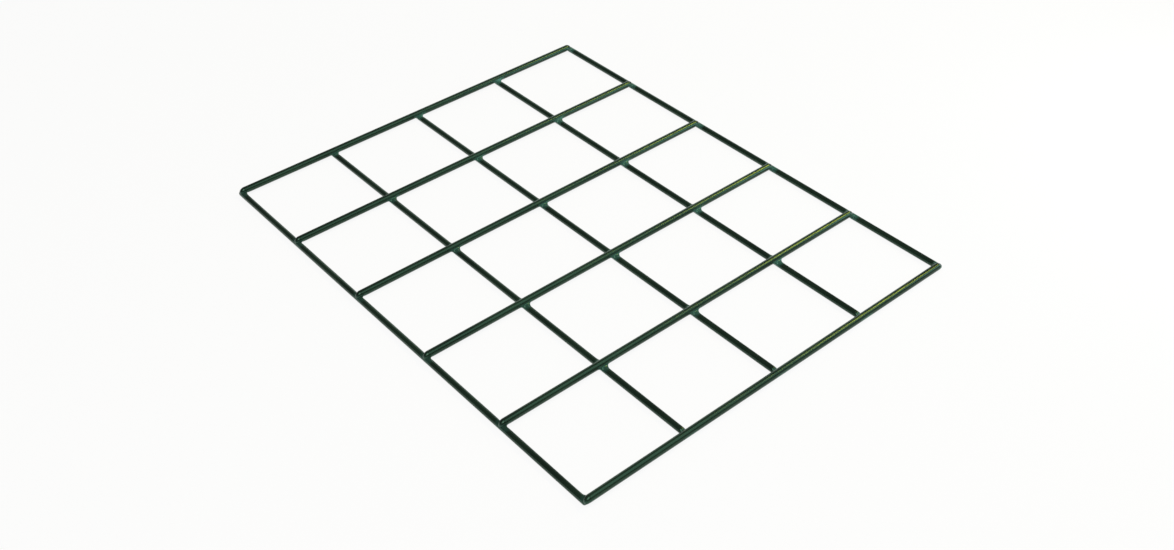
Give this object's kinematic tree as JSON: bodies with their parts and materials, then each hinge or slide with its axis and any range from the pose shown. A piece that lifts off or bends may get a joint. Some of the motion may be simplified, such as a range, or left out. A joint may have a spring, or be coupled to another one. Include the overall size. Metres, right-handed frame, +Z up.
{
  "type": "welded wire mesh panel",
  "caption": "Flat rectangular panel of round coated wires welded in a square grid, short cross wires on top of long line wires, no wire end past the edge.",
  "frame": {"origin": "centre of the panel in plan, on the ground it lies on, under the line wires", "axes": "+X along the long line wires, +Y along the short cross wires, +Z up, from the line wires towards the cross wires"},
  "size_m": [0.2572, 0.2062, 0.0047],
  "materials": {
    "green_coating": "smooth dark green plastic coating over galvanised steel wire"
  },
  "bodies": {
    "root": {"welded_mesh": "green_coating"}
  },
  "joints": []
}
